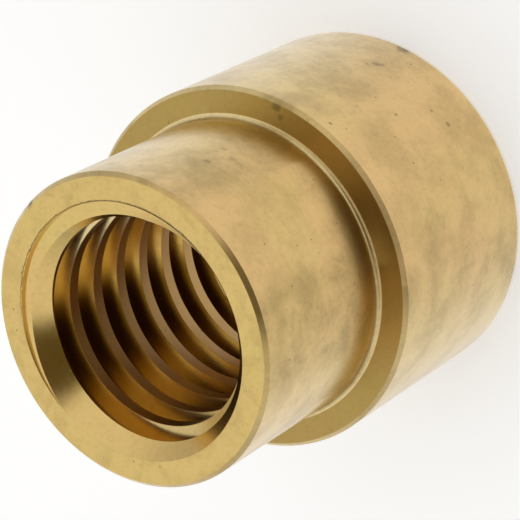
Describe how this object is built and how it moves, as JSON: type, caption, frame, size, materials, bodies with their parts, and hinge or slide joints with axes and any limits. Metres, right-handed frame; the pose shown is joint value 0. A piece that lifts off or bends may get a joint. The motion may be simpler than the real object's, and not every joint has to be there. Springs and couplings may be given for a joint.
{
  "type": "lift safety nut",
  "caption": "Stepped cylindrical brass nut with a coarse trapezoidal thread right through it, for the lead screw of a screw-driven lift.",
  "frame": {"origin": "centre of the large end's flat face, on which the nut stands", "axes": "+Z along the thread's axis from the large end to the small end; X and Y across it, square to each other"},
  "size_m": [0.06, 0.06, 0.066],
  "materials": {
    "turned_brass": "as turned, lightly tarnished"
  },
  "bodies": {
    "root": {"lift_nut": "turned_brass"}
  },
  "joints": []
}
